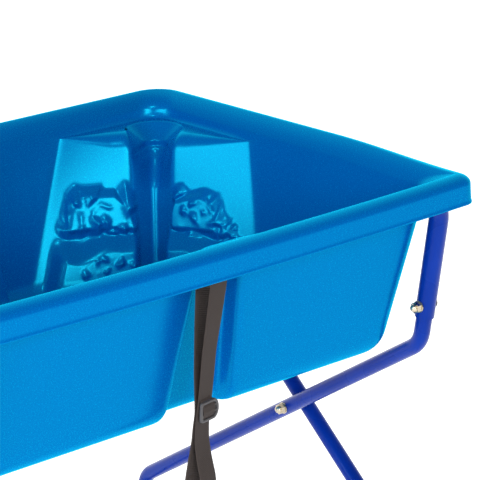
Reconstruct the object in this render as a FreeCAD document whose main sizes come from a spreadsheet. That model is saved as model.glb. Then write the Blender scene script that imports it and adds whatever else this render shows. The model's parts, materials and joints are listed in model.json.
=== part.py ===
"""Play tub with a moulded waterfall corner on a folding, crossed tube stand.

Millimetres. The floor is z = 0, +Z is up, X runs along the tub's long sides
and the origin is on the floor under the middle of the tub.
"""
import FreeCAD, Part
import math
import os
import Sketcher
from FreeCAD import Placement, Rotation, Vector

SIZES = {
    # tub
    "rim_top": 694.0,
    "lip_half_length": 392.0,
    "lip_half_width": 315.0,
    "lip_corner_radius": 24.0,
    "skirt_height": 41.0,
    "rim_roll_radius": 10.0,
    "skin": 3.5,
    "wall_half_length": 354.0,
    "wall_half_width": 277.0,
    "wall_slope": 0.2,
    "wall_corner_radius": 41.0,
    "tub_floor_level": 456.0,
    "floor_edge_radius": 34.0,
    # waists half way along both long sides
    "waist_top_left": -11.0,
    "waist_top_right": 36.0,
    "waist_bottom_left": -48.0,
    "waist_bottom_right": 45.0,
    "waist_depth": 23.0,
    "waist_overrun": 12.0,
    # waterfall corner
    "ledge_level": 662.0,
    "ledge_far_end": 205.0,
    "ledge_right_end": 78.0,
    "ledge_middle_along": 289.0,
    "ledge_middle_across": 206.0,
    "foot_far_end": 105.0,
    "foot_right_end": 30.0,
    "foot_middle_along": 248.0,
    "foot_middle_across": 162.0,
    "funnel_mouth_radius": 40.0,
    "funnel_throat_radius": 17.0,
    "funnel_depth": 26.0,
    "funnel_set_back": 15.0,
    "chute_radius": 14.0,
    "chute_set_back": 6.0,
    "chute_top_below_ledge": 6.0,
    "chute_foot_above_floor": 12.0,
    "block_edge_inside_skirt": 0.5,
    "block_below_floor": 6.0,
    "block_skin": 4.55,
    "hollow_below_floor": 12.0,
    # stand tubes
    "top_tube_diameter": 25.0,
    "top_tube_wall": 1.95,
    "leg_tube_diameter": 21.0,
    "leg_tube_wall": 1.5,
    "top_rail_across": 296.2,
    "top_rail_level": 667.5,
    "foot_rail_across": 333.0,
    "foot_rail_level": 14.0,
    "pivot_level": 304.5,
    "inner_frame_half_length": 345.4,
    "outer_frame_half_length": 373.4,
    "inner_bend_across": 256.3,
    "inner_bend_level": 463.5,
    "inner_socket_end_level": 502.0,
    "inner_leg_top_level": 572.0,
    "outer_bend_across": 256.0,
    "outer_bend_level": 527.8,
    "outer_socket_end_level": 567.0,
    "outer_leg_top_level": 630.0,
    "top_bend_radius": 36.0,
    "leg_bend_radius": 38.0,
    # fasteners
    "bolt_diameter": 8.0,
    "bolt_clearance": 0.05,
    "bolt_head_radius": 7.0,
    "bolt_head_height": 4.5,
    "bolt_head_overlap": 0.5,
    "nut_across_corners": 14.8,
    "nut_height": 6.6,
    "nut_dome_radius": 5.4,
    "bolt_end_in_dome": 1.5,
    "bolt_hole_length": 40.0,
    "washer_radius": 7.8,
    "washer_thickness": 1.2,
    "leg_bolt_above_socket_end": 16.0,
    "spacer_radius": 8.5,
    "running_gap": 0.3,
    # rubber feet
    "shoe_radius": 14.0,
    "shoe_length": 60.0,
    "shoe_along": 230.0,
    # strap
    "strap_width": 25.0,
    "strap_thickness": 1.6,
    "strap_rail_gap": 0.4,
    "strap_along": -24.5,
    "strap_lean": 5.5,
    "strap_pinch_level": 484.0,
    "strap_bottom_level": 352.0,
    "strap_bottom_radius": 12.0,
    "strap_half_gap": 0.3,
    "buckle_width": 34.0,
    "buckle_height": 32.0,
    "buckle_thickness": 9.0,
    "buckle_slot_gap": 0.3,
}

doc = FreeCAD.newDocument("play_tub")
sheet = doc.addObject("Spreadsheet::Sheet", "sizes")
for row, (word, value) in enumerate(SIZES.items(), start=1):
    sheet.set(f"A{row}", word)
    sheet.set(f"B{row}", str(value))
    sheet.setAlias(f"B{row}", word)
doc.recompute()

X_AXIS = Vector(1, 0, 0)
Z_AXIS = Vector(0, 0, 1)
ALONG_X = Rotation(Vector(0, 1, 0), 90)
SIDES = {"right": 1, "left": -1}
nodes = {}


def size(word):
    """A driving dimension, read from the sheet."""
    return float(sheet.get(word))


def bind(item, **formulas):
    """Ties properties of a document object to the sheet."""
    for prop, formula in formulas.items():
        item.setExpression(prop.replace("__", "."), formula)
    return item


def keep(item, label):
    """Marks an object as a finished piece, written under its label."""
    item.Label = label
    nodes[label] = item
    return item


def boolean(kind, name, base, tool):
    """Cut, fuse or common of two objects."""
    item = doc.addObject(f"Part::{kind}", name)
    item.Base = base
    item.Tool = tool
    return item


def fuse_all(name, items):
    item = doc.addObject("Part::MultiFuse", name)
    item.Shapes = items
    return item


def group(label, items):
    """Separate identical solids that share one node."""
    item = doc.addObject("Part::Compound", label)
    item.Links = items
    return keep(item, label)


def plane_of(body, role):
    """One of a body's own origin planes."""
    return next(f for f in body.Origin.OriginFeatures if f.Role == role)


def edges_at(shape, level, tolerance=0.01):
    """Names of the edges that lie in the horizontal plane at a level."""
    names = []
    for number, edge in enumerate(shape.Edges, start=1):
        box = edge.BoundBox
        if abs(box.ZMin - level) < tolerance and abs(box.ZMax - level) < tolerance:
            names.append(f"Edge{number}")
    return names


# ---------------------------------------------------------------- tub shell


def rounded_rectangle(body, name, level, half_length, half_width, radius):
    """A sketch of a rectangle with round corners, centred on the Z axis.

    level, half_length, half_width and radius are formulas on the sheet.
    """
    sketch = body.newObject("Sketcher::SketchObject", name)
    sketch.AttachmentSupport = [(plane_of(body, "XY_Plane"), "")]
    sketch.MapMode = "FlatFace"
    sketch.setExpression("AttachmentOffset.Base.z", level)
    far, wide, bend = 300.0, 200.0, 40.0
    corners = [(far, -wide), (far, wide), (-far, wide), (-far, -wide)]
    lines = []
    arcs = []
    for index, (x, y) in enumerate(corners):
        centre = Vector(x - math.copysign(bend, x), y - math.copysign(bend, y), 0)
        start = math.radians(index * 90 - 90)
        circle = Part.Circle(centre, Z_AXIS, bend)
        arcs.append(sketch.addGeometry(Part.ArcOfCircle(circle, start, start + math.pi / 2)))
    for index in range(4):
        first = sketch.getPoint(arcs[index], 2)
        second = sketch.getPoint(arcs[(index + 1) % 4], 1)
        lines.append(sketch.addGeometry(Part.LineSegment(first, second)))
    for index in range(4):
        after = (index + 1) % 4
        sketch.addConstraint(Sketcher.Constraint("Tangent", arcs[index], 2, lines[index], 1))
        sketch.addConstraint(Sketcher.Constraint("Tangent", lines[index], 2, arcs[after], 1))
    for index in range(1, 4):
        sketch.addConstraint(Sketcher.Constraint("Equal", arcs[0], arcs[index]))
    for index in (0, 2):
        sketch.addConstraint(Sketcher.Constraint("Vertical", lines[index]))
        sketch.addConstraint(Sketcher.Constraint("Horizontal", lines[index + 1]))
    right, top, left, bottom = lines
    data = [
        ("right", Sketcher.Constraint("DistanceX", -1, 1, right, 1, far), half_length),
        ("left", Sketcher.Constraint("DistanceX", left, 1, -1, 1, far), half_length),
        ("top", Sketcher.Constraint("DistanceY", -1, 1, top, 1, wide), half_width),
        ("bottom", Sketcher.Constraint("DistanceY", bottom, 1, -1, 1, wide), half_width),
        ("round", Sketcher.Constraint("Radius", arcs[0], bend), radius),
    ]
    for word, constraint, formula in data:
        number = sketch.addConstraint(constraint)
        sketch.renameConstraint(number, word)
        sketch.setExpression(f"Constraints.{word}", formula)
    return sketch


def fillet_edges(body, name, base, level, radius):
    """Rounds every edge of the body that lies at a level."""
    doc.recompute()
    item = body.newObject("PartDesign::Fillet", name)
    item.Base = (base, edges_at(base.Shape, level))
    item.setExpression("Radius", radius)
    doc.recompute()
    return item


def tapered_bowl(name, top_level, bottom_level, inset, edge_radius):
    """The tub's walls and floor as one tapered solid with a round bottom edge."""
    body = doc.addObject("PartDesign::Body", name)
    lip = "(sizes.rim_top - sizes.skirt_height)"
    sections = []
    for word, level in (("top", top_level), ("bottom", bottom_level)):
        grow = f"sizes.wall_slope * ({level} - {lip}) - {inset}"
        sketch = rounded_rectangle(
            body,
            f"{name}_{word}_outline",
            level,
            f"sizes.wall_half_length + {grow}",
            f"sizes.wall_half_width + {grow}",
            f"sizes.wall_corner_radius - {inset}",
        )
        sections.append(sketch)
    doc.recompute()
    loft = body.newObject("PartDesign::AdditiveLoft", f"{name}_loft")
    loft.Profile = sections[0]
    loft.Sections = [sections[1]]
    loft.Ruled = True
    doc.recompute()
    bottom = sections[1].Placement.Base.z
    fillet_edges(body, f"{name}_round", loft, bottom, edge_radius)
    return body


def rim_block():
    """Flat rim with a rolled edge and a skirt that hangs down all round."""
    body = doc.addObject("PartDesign::Body", "rim")
    outline = rounded_rectangle(
        body,
        "rim_outline",
        "sizes.rim_top - sizes.skirt_height",
        "sizes.lip_half_length",
        "sizes.lip_half_width",
        "sizes.lip_corner_radius",
    )
    doc.recompute()
    block = body.newObject("PartDesign::Pad", "rim_pad")
    block.Profile = outline
    block.setExpression("Length", "sizes.skirt_height")
    roll = fillet_edges(body, "rim_roll", block, size("rim_top"), "sizes.rim_roll_radius")
    hollow_outline = rounded_rectangle(
        body,
        "rim_hollow_outline",
        "sizes.rim_top - sizes.skirt_height",
        "sizes.lip_half_length - sizes.skin",
        "sizes.lip_half_width - sizes.skin",
        "sizes.lip_corner_radius - sizes.skin",
    )
    doc.recompute()
    hollow = body.newObject("PartDesign::Pocket", "rim_hollow")
    hollow.Profile = hollow_outline
    hollow.Reversed = True
    hollow.setExpression("Length", "sizes.skirt_height - sizes.skin")
    doc.recompute()
    if hollow.Shape.Volume > 0.5 * roll.Shape.Volume:
        raise RuntimeError("the rim was not hollowed")
    ceiling = size("rim_top") - size("skin")
    fillet_edges(body, "rim_inner_roll", hollow, ceiling, "sizes.rim_roll_radius - sizes.skin")
    return body


def prism_between(name, low_points, high_points):
    """A closed solid between two horizontal polygons with equally many points."""
    low = Part.makePolygon(low_points + low_points[:1])
    high = Part.makePolygon(high_points + high_points[:1])
    item = doc.addObject("Part::Feature", name)
    item.Shape = Part.makeLoft([low, high], True, True)
    return item


def wall_at(word, level):
    """Distance of the tub's outer wall from the middle at a level."""
    lip_level = size("rim_top") - size("skirt_height")
    return size(word) + size("wall_slope") * (level - lip_level)


def waist(name, side, extra):
    """Tapered block for the channel down a long side; extra grows it by the skin.

    The channel runs out through the floor and the wall, its skin stays inside.
    """
    overrun = size("waist_overrun") if extra == 0 else 0.0
    levels = (size("tub_floor_level") - overrun, size("rim_top") - size("skin") + extra)
    outlines = []
    for level, end in zip(levels, ("bottom", "top")):
        left = size(f"waist_{end}_left") - extra
        right = size(f"waist_{end}_right") + extra
        inner = side * (wall_at("wall_half_width", level) - size("waist_depth") - extra)
        outer = side * (wall_at("wall_half_width", level) + overrun - size("skin") / 2)
        outlines.append(
            [
                Vector(left, inner, level),
                Vector(right, inner, level),
                Vector(right, outer, level),
                Vector(left, outer, level),
            ]
        )
    return prism_between(name, *outlines)


def corner_outline(level, far_end, middle, right_end, inward):
    """Plan outline of the waterfall corner: two faces that meet in a groove.

    inward moves both faces towards the corner, by the skin behind them. The
    outline ends just inside the skirt.
    """
    inset = size("skin") + size("block_edge_inside_skirt")
    far_wall = size("lip_half_width") - inset
    right_wall = size("lip_half_length") - inset
    start = Vector(far_end, wall_at("wall_half_width", level), 0)
    end = Vector(wall_at("wall_half_length", level), right_end, 0)
    middle = Vector(middle[0], middle[1], 0)
    shift = Vector(1, 1, 0).normalize() * inward
    start_out = start + (start - middle) * ((far_wall - start.y) / (start.y - middle.y))
    end_out = end + (end - middle) * ((right_wall - end.x) / (end.x - middle.x))
    points = [
        Vector(start_out.x + shift.x, far_wall, 0),
        middle + shift,
        Vector(right_wall, end_out.y + shift.y, 0),
        Vector(right_wall, far_wall, 0),
    ]
    return [Vector(p.x, p.y, level) for p in points]


def corner_block(name, inward, top_drop, bottom):
    """The waterfall corner as a solid, or the hollow behind it."""
    ledge_middle = (size("ledge_middle_along"), size("ledge_middle_across"))
    foot_middle = (size("foot_middle_along"), size("foot_middle_across"))
    low = corner_outline(bottom, size("foot_far_end"), foot_middle, size("foot_right_end"), inward)
    top = size("ledge_level") - top_drop
    high = corner_outline(
        top, size("ledge_far_end"), ledge_middle, size("ledge_right_end"), inward
    )
    return prism_between(name, low, high)


def funnel(name, grow):
    """The cone that opens in the ledge, or its skin, which is deeper by grow."""
    item = doc.addObject("Part::Cone", name)
    bind(
        item,
        Radius1=f"sizes.funnel_throat_radius + {grow}",
        Radius2=f"sizes.funnel_mouth_radius + {grow}",
        Height=f"sizes.funnel_depth + {grow}",
        Placement__Base__x="sizes.ledge_middle_along + sizes.funnel_set_back",
        Placement__Base__y="sizes.ledge_middle_across + sizes.funnel_set_back",
        Placement__Base__z=f"sizes.ledge_level - sizes.funnel_depth - {grow}",
    )
    return item


def chute(name, grow):
    """The round channel that runs down between the two faces."""
    back = size("chute_set_back")
    top = Vector(
        size("ledge_middle_along") + back,
        size("ledge_middle_across") + back,
        size("ledge_level") - size("chute_top_below_ledge"),
    )
    foot = Vector(
        size("foot_middle_along") + back,
        size("foot_middle_across") + back,
        size("tub_floor_level") + size("chute_foot_above_floor"),
    )
    run = foot - top
    item = doc.addObject("Part::Cylinder", name)
    bind(item, Radius=f"sizes.chute_radius + {grow}")
    item.Height = run.Length + 2 * grow
    item.Placement = Placement(top, Rotation(Z_AXIS, run))
    return item


def make_tub():
    """One moulded skin: rim, walls, floor, two waists and the waterfall corner."""
    rim = rim_block()
    outer = tapered_bowl(
        "bowl",
        "sizes.rim_top - sizes.skin",
        "sizes.tub_floor_level",
        "0",
        "sizes.floor_edge_radius",
    )
    inner = tapered_bowl(
        "bowl_space",
        "sizes.rim_top + 1",
        "sizes.tub_floor_level + sizes.skin",
        "sizes.skin",
        "sizes.floor_edge_radius - sizes.skin",
    )
    skin = size("skin")
    floor = size("tub_floor_level")
    humps = [waist(f"waist_hump_{word}", side, skin) for word, side in SIDES.items()]
    channels = [waist(f"waist_channel_{word}", side, 0) for word, side in SIDES.items()]
    block = corner_block("corner_block", 0, 0, floor - size("block_below_floor"))
    hollow_foot = floor - size("hollow_below_floor")
    hollow = corner_block("corner_hollow", size("block_skin"), skin, hollow_foot)
    funnel_skin = funnel("funnel_skin", skin)
    funnel_bore = funnel("funnel_bore", 0)
    chute_skin = chute("chute_skin", skin)
    chute_bore = chute("chute_bore", 0)
    doc.recompute()
    standing = fuse_all("inside_features", humps + [block])
    space = boolean("Cut", "tub_space", inner, standing)
    solid = boolean("Fuse", "rim_and_bowl", rim, outer)
    shell = boolean("Cut", "thin_shell", solid, space)
    backed = fuse_all("funnel_and_chute_skin", [funnel_skin, chute_skin])
    behind = boolean("Cut", "behind_corner", hollow, backed)
    cutters = fuse_all("tub_cutters", channels + [behind, funnel_bore, chute_bore])
    keep(boolean("Cut", "tub", shell, cutters), "tub_shell")


# -------------------------------------------------------------- bent tubes


def bent_path(points, radius):
    """A wire of straight runs joined by tangent arcs of one radius."""
    edges = []
    start = points[0]
    for before, corner, after in zip(points, points[1:], points[2:]):
        come = (corner - before).normalize()
        go = (after - corner).normalize()
        turn = come.getAngle(go)
        reach = radius * math.tan(turn / 2)
        first = corner - come * reach
        last = corner + go * reach
        inward = (go - come).normalize()
        centre = corner + inward * (radius / math.cos(turn / 2))
        middle = centre - inward * radius
        edges.append(Part.LineSegment(start, first).toShape())
        edges.append(Part.Arc(first, middle, last).toShape())
        start = last
    edges.append(Part.LineSegment(start, points[-1]).toShape())
    return Part.Wire(edges)


def swept_rod(name, path, points, radius_formula):
    """A solid round bar along a path."""
    ring = doc.addObject("Part::Circle", f"{name}_section")
    ring.setExpression("Radius", radius_formula)
    direction = points[1] - points[0]
    ring.Placement = Placement(points[0], Rotation(Z_AXIS, direction))
    rod = doc.addObject("Part::Sweep", name)
    rod.Sections = [ring]
    rod.Spine = (path, [f"Edge{n + 1}" for n in range(len(path.Shape.Edges))])
    rod.Solid = True
    rod.Frenet = False
    return rod


def bent_tube(name, points, diameter, wall, bend):
    """A hollow tube bent along corner points; sizes are words on the sheet."""
    path = doc.addObject("Part::Feature", f"{name}_path")
    path.Shape = bent_path(points, size(bend))
    outer = swept_rod(f"{name}_outer", path, points, f"sizes.{diameter} / 2")
    bore = swept_rod(f"{name}_bore", path, points, f"sizes.{diameter} / 2 - sizes.{wall}")
    tube = boolean("Cut", f"{name}_tube", outer, bore)
    doc.recompute()
    radius = size(diameter) / 2
    section = math.pi * (radius**2 - (radius - size(wall)) ** 2)
    expected = section * path.Shape.Length
    if abs(tube.Shape.Volume / expected - 1) > 0.02:
        raise RuntimeError(f"{name}: the swept tube has the wrong volume")
    return tube


def on_line(low, high, level):
    """The point of the line through low and high at a level."""
    return low + (high - low) * ((level - low.z) / (high.z - low.z))


def mirrored(points):
    """The same points on the left, in the opposite order."""
    return [Vector(-p.x, p.y, p.z) for p in reversed(points)]


def bolt_hole(name, centre):
    """A cutter along X for a bolt, with running clearance."""
    length = size("bolt_hole_length")
    item = doc.addObject("Part::Cylinder", name)
    bind(item, Radius="sizes.bolt_diameter / 2 + sizes.bolt_clearance")
    item.Height = length
    item.Placement = Placement(centre - X_AXIS * (length / 2), ALONG_X)
    return item


def frame_points(frame):
    """Corner points of the right half of a frame, from the top rail down."""
    front = -1 if frame == "inner" else 1
    along = size(f"{frame}_frame_half_length")
    rail = Vector(along, front * size("top_rail_across"), size("top_rail_level"))
    bend = Vector(along, front * size(f"{frame}_bend_across"), size(f"{frame}_bend_level"))
    foot = Vector(along, -front * size("foot_rail_across"), size("foot_rail_level"))
    pivot = Vector(along, 0, size("pivot_level"))
    return rail, bend, pivot, foot


def make_frame(frame):
    """Upper tube and leg tube of one frame, drilled for their bolts."""
    rail, bend, pivot, foot = frame_points(frame)
    socket_end = on_line(bend, rail, size(f"{frame}_socket_end_level"))
    leg_top = on_line(bend, rail, size(f"{frame}_leg_top_level"))
    upper_points = [socket_end, rail]
    lower_points = [leg_top, bend]
    if frame == "inner":
        slope = (pivot.z - bend.z) / (pivot.y - bend.y)
        lower_points.append(Vector(foot.x, foot.y, pivot.z + slope * foot.y))
    lower_points.append(foot)
    upper = bent_tube(
        f"{frame}_upper",
        upper_points + mirrored(upper_points),
        "top_tube_diameter",
        "top_tube_wall",
        "top_bend_radius",
    )
    lower = bent_tube(
        f"{frame}_lower",
        lower_points + mirrored(lower_points),
        "leg_tube_diameter",
        "leg_tube_wall",
        "leg_bend_radius",
    )
    bolt_level = socket_end.z + size("leg_bolt_above_socket_end")
    leg_bolt = on_line(bend, rail, bolt_level)
    holes = []
    for word, side in SIDES.items():
        for use, centre in (("leg", leg_bolt), ("pivot", pivot)):
            place = Vector(side * centre.x, centre.y, centre.z)
            holes.append(bolt_hole(f"{frame}_{use}_hole_{word}", place))
    leg_holes = fuse_all(f"{frame}_leg_holes", [holes[0], holes[2]])
    all_holes = fuse_all(f"{frame}_all_holes", holes)
    keep(boolean("Cut", f"{frame}_top", upper, leg_holes), f"{frame}_top_tube")
    keep(boolean("Cut", f"{frame}_leg", lower, all_holes), f"{frame}_leg_tube")
    return leg_bolt


# -------------------------------------------------------------- fasteners


def disc(name, radius, start, end, centre, side, bore=None):
    """A round piece along X between two distances from the middle of the tub."""
    length = end - start
    base = Vector(side * (start if side > 0 else end), centre.y, centre.z)
    item = doc.addObject("Part::Cylinder", name)
    bind(item, Radius=radius)
    item.Height = length
    item.Placement = Placement(base, ALONG_X)
    if bore is None:
        return item
    hole = doc.addObject("Part::Cylinder", f"{name}_bore")
    bind(hole, Radius=bore)
    hole.Height = length
    hole.Placement = Placement(base, ALONG_X)
    return boolean("Cut", f"{name}_ring", item, hole)


def carriage_bolt(name, centre, side, inner_end, head_start):
    """A domed bolt whose head faces out and whose shank points to the middle."""
    shank_end = head_start + size("bolt_head_overlap")
    shank = disc(f"{name}_shank", "sizes.bolt_diameter / 2", inner_end, shank_end, centre, side)
    height = size("bolt_head_height")
    head_radius = size("bolt_head_radius")
    ball_radius = (head_radius**2 + height**2) / (2 * height)
    ball = doc.addObject("Part::Sphere", f"{name}_ball")
    ball.Radius = ball_radius
    ball.Placement.Base = Vector(side * (head_start + height - ball_radius), centre.y, centre.z)
    slab = disc(
        f"{name}_slab", "sizes.bolt_head_radius", head_start, head_start + height, centre, side
    )
    head = boolean("Common", f"{name}_head", ball, slab)
    return fuse_all(name, [shank, head])


def acorn_nut(name, centre, side, face, bolt_end):
    """A domed hexagon nut whose flat face is at a distance from the middle."""
    height = size("nut_height")
    low = face - height
    prism = doc.addObject("Part::Prism", f"{name}_hexagon")
    prism.Polygon = 6
    bind(prism, Circumradius="sizes.nut_across_corners / 2")
    prism.Height = height
    base_x = low if side > 0 else -face
    prism.Placement = Placement(Vector(base_x, centre.y, centre.z), ALONG_X)
    dome = doc.addObject("Part::Sphere", f"{name}_dome")
    bind(dome, Radius="sizes.nut_dome_radius")
    dome.Placement.Base = Vector(side * low, centre.y, centre.z)
    whole = fuse_all(f"{name}_blank", [prism, dome])
    bore = disc(f"{name}_bore", "sizes.bolt_diameter / 2", bolt_end, face, centre, side)
    return boolean("Cut", name, whole, bore)


def bolted_joint(use, centre, inner_face, outer_face):
    """Bolts, nuts and inner washers at both ends of the stand for one joint."""
    gap = size("running_gap")
    thickness = size("washer_thickness")
    shank = "sizes.bolt_diameter / 2"
    bolts, nuts, washers = [], [], []
    for word, side in SIDES.items():
        washer_end = inner_face - gap
        nut_face = washer_end - thickness
        bolt_end = nut_face - size("nut_height") - size("bolt_end_in_dome")
        name = f"{use}_{word}"
        washers.append(
            disc(f"{name}_washer", "sizes.washer_radius", nut_face, washer_end, centre, side, shank)
        )
        nuts.append(acorn_nut(f"{name}_nut", centre, side, nut_face, bolt_end))
        bolts.append(carriage_bolt(f"{name}_bolt", centre, side, bolt_end, outer_face + gap))
    group(f"{use}_bolts", bolts)
    group(f"{use}_nuts", nuts)
    group(f"{use}_washers", washers)


def make_pivots():
    """The two through bolts on which the crossed frames turn, with spacers."""
    centre = Vector(0, 0, size("pivot_level"))
    radius = size("leg_tube_diameter") / 2
    inner = size("inner_frame_half_length")
    outer = size("outer_frame_half_length")
    bolted_joint("pivot", centre, inner - radius, outer + radius)
    gap = size("running_gap")
    rings = []
    for word, side in SIDES.items():
        rings.append(
            disc(
                f"spacer_{word}",
                "sizes.spacer_radius",
                inner + radius + gap,
                outer - radius - gap,
                centre,
                side,
                "sizes.bolt_diameter / 2",
            )
        )
    group("pivot_spacers", rings)


# --------------------------------------------------------- feet and strap


def make_shoes(frame, front):
    """Rubber shoes with flat soles, in which a foot rail can turn."""
    shoes = []
    radius = size("shoe_radius")
    for word, side in SIDES.items():
        name = f"{frame}_shoe_{word}"
        low = Vector(
            side * size("shoe_along") - size("shoe_length") / 2,
            front * size("foot_rail_across"),
            size("foot_rail_level"),
        )
        sleeve = doc.addObject("Part::Cylinder", f"{name}_sleeve")
        bind(sleeve, Radius="sizes.shoe_radius", Height="sizes.shoe_length")
        sleeve.Placement = Placement(low, ALONG_X)
        sole = doc.addObject("Part::Box", f"{name}_sole")
        bind(sole, Length="sizes.shoe_length", Width="sizes.shoe_radius * 2")
        sole.setExpression("Height", "sizes.foot_rail_level")
        sole.Placement.Base = low - Vector(0, radius, size("foot_rail_level"))
        bore = doc.addObject("Part::Cylinder", f"{name}_bore")
        bind(bore, Radius="sizes.leg_tube_diameter / 2 + sizes.bolt_clearance")
        bind(bore, Height="sizes.shoe_length")
        bore.Placement = Placement(low, ALONG_X)
        shoes.append(boolean("Cut", name, fuse_all(f"{name}_blank", [sleeve, sole]), bore))
    group(f"{frame}_rail_shoes", shoes)


def drop_outline(ends, radii, pinch):
    """Face of a figure of eight: round ends joined by lines through a pinch."""
    top, bottom = ends
    middle = Vector(0, top.y, size("strap_pinch_level"))
    faces = []
    for centre, radius, sign in ((top, radii[0], 1), (bottom, radii[1], -1)):
        reach = (centre.z - middle.z) * sign
        lean = math.asin((radius - pinch) / reach)
        touch_y = radius * math.cos(lean)
        touch_z = centre.z - sign * radius * math.sin(lean)
        left = Vector(0, centre.y - touch_y, touch_z)
        right = Vector(0, centre.y + touch_y, touch_z)
        crown = Vector(0, centre.y, centre.z + sign * radius)
        low_left = Vector(0, middle.y - pinch, middle.z)
        low_right = Vector(0, middle.y + pinch, middle.z)
        edges = [
            Part.LineSegment(low_left, left).toShape(),
            Part.Arc(left, crown, right).toShape(),
            Part.LineSegment(right, low_right).toShape(),
            Part.LineSegment(low_right, low_left).toShape(),
        ]
        faces.append(Part.Face(Part.Wire(edges)))
    return faces[0].fuse(faces[1]).removeSplitter()


def make_strap():
    """A webbing loop over the front top rail, with a buckle on both layers."""
    thickness = size("strap_thickness")
    width = size("strap_width")
    rail = Vector(0, -size("top_rail_across"), size("top_rail_level"))
    bottom = Vector(0, rail.y, size("strap_bottom_level"))
    inner_radii = (
        size("top_tube_diameter") / 2 + size("strap_rail_gap"),
        size("strap_bottom_radius"),
    )
    outer_radii = tuple(radius + thickness for radius in inner_radii)
    half_gap = size("strap_half_gap")
    outer = drop_outline((rail, bottom), outer_radii, half_gap + thickness)
    inner = drop_outline((rail, bottom), inner_radii, half_gap)
    halves = outer.cut(inner).extrude(X_AXIS * width).Solids
    band = halves[0].fuse(halves[1:]).removeSplitter()
    band.translate(X_AXIS * (size("strap_along") - width / 2))
    band.rotate(rail, X_AXIS, size("strap_lean"))
    loop = doc.addObject("Part::Feature", "loop")
    loop.Shape = band
    keep(loop, "strap_loop")

    level = size("strap_pinch_level") - size("buckle_height") / 2
    frame = doc.addObject("Part::Box", "buckle_frame")
    bind(frame, Length="sizes.buckle_width", Width="sizes.buckle_thickness")
    bind(frame, Height="sizes.buckle_height")
    frame.Placement.Base = Vector(
        size("strap_along") - size("buckle_width") / 2,
        rail.y - size("buckle_thickness") / 2,
        level,
    )
    slot = doc.addObject("Part::Feature", "buckle_slot")
    play = size("buckle_slot_gap")
    passage = drop_outline(
        (rail, bottom), tuple(r + play for r in outer_radii), half_gap + thickness + play
    )
    opening = passage.extrude(X_AXIS * (width + 2 * play))
    opening.translate(X_AXIS * (size("strap_along") - width / 2 - play))
    slot.Shape = opening
    buckle = boolean("Cut", "buckle", frame, slot)
    buckle.Placement = Placement(Vector(), Rotation(X_AXIS, size("strap_lean")), rail)
    keep(buckle, "strap_buckle")


# ------------------------------------------------------------------ build

make_tub()
for frame_name in ("inner", "outer"):
    joint_centre = make_frame(frame_name)
    reach = size(f"{frame_name}_frame_half_length")
    half_tube = size("top_tube_diameter") / 2
    bolted_joint(f"{frame_name}_leg", joint_centre, reach - half_tube, reach + half_tube)
make_pivots()
make_shoes("inner", 1)
make_shoes("outer", -1)
make_strap()
doc.recompute()

for item in doc.Objects:
    if "Invalid" in item.State or "Error" in item.State:
        raise RuntimeError(f"{item.Name} failed: {item.State}")
for label, item in nodes.items():
    if item.Shape.isNull() or not item.Shape.isValid() or not item.Shape.Solids:
        raise RuntimeError(f"{label} has no valid solid")

os.makedirs("parts", exist_ok=True)
for label, item in nodes.items():
    item.Shape.exportStep(f"parts/{label}.step")
    box = item.Shape.BoundBox
    print(label, len(item.Shape.Solids), f"{item.Shape.Volume / 1000:.1f} cm3", box)
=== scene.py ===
"""Looks, light and camera for the play tub on its folding stand.

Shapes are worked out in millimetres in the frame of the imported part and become
metres when a mesh is made.
"""

import json
import math

import bmesh
import bpy
import numpy as np
from mathutils import Matrix, Vector


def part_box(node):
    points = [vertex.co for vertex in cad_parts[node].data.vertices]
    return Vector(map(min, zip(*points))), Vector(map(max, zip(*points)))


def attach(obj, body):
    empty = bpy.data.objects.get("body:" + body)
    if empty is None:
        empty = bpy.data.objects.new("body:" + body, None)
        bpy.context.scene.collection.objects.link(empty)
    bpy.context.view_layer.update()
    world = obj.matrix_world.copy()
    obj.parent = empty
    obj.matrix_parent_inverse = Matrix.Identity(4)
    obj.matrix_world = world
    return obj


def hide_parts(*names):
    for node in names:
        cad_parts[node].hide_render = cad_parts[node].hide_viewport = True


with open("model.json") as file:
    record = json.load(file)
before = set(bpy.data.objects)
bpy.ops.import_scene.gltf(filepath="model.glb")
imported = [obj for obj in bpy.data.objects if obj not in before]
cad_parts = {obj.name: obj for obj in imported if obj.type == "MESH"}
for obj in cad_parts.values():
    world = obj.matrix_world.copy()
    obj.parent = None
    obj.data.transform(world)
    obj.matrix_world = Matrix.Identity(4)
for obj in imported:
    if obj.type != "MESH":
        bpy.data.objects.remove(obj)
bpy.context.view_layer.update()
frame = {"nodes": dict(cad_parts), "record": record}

MM = 0.001
low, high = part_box("tub_shell")
LIP_LENGTH = high[0] / MM
LIP_WIDTH = high[1] / MM
RIM_TOP = high[2] / MM
FLOOR = low[2] / MM
SKIN = 3.5
MERGE = 0.12
SLIVER = 0.02
FLOOR_TOP = FLOOR + SKIN
SKIRT = 41.0
LIP_LEVEL = RIM_TOP - SKIRT
NEAR_CORNER = 24.0
FAR_CORNER = 50.0
FLARE = 1.6
RIM_WIDTH = 38.0
WALL_LENGTH = LIP_LENGTH - RIM_WIDTH - SKIN
WALL_WIDTH = LIP_WIDTH - RIM_WIDTH - SKIN
WALL_CORNER = 37.5
SLOPE = 0.2
FLOOR_ROUND = 25.01

# the waist: x of its sides at the floor and at the rim, and how far it is pressed in
WAIST_LEFT = (-48.0, -11.0)
WAIST_RIGHT = (45.0, 36.0)
WAIST_DEPTH = 23.0
WAIST_EDGE = 6.0
WAIST_REACH = 75.0
WAIST_TOP = RIM_TOP - 12.0

# the waterfall corner; a pair is a value at its foot and at its ledge
LEDGE = 662.0
LEDGE_ROUND = 17.0
LEDGE_FOOT = 5.0
BLOCK_FOOT = 450.0
BLOCK_START = -5.0
PLAIN_CORNER = (285.0, 165.0)
MIDDLE_X = (248.0, 289.0)
MIDDLE_Y = (162.0, 206.0)
RIGHT_END_Y = (8.0, 75.0)
FAR_END_X = (85.0, 184.0)

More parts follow.
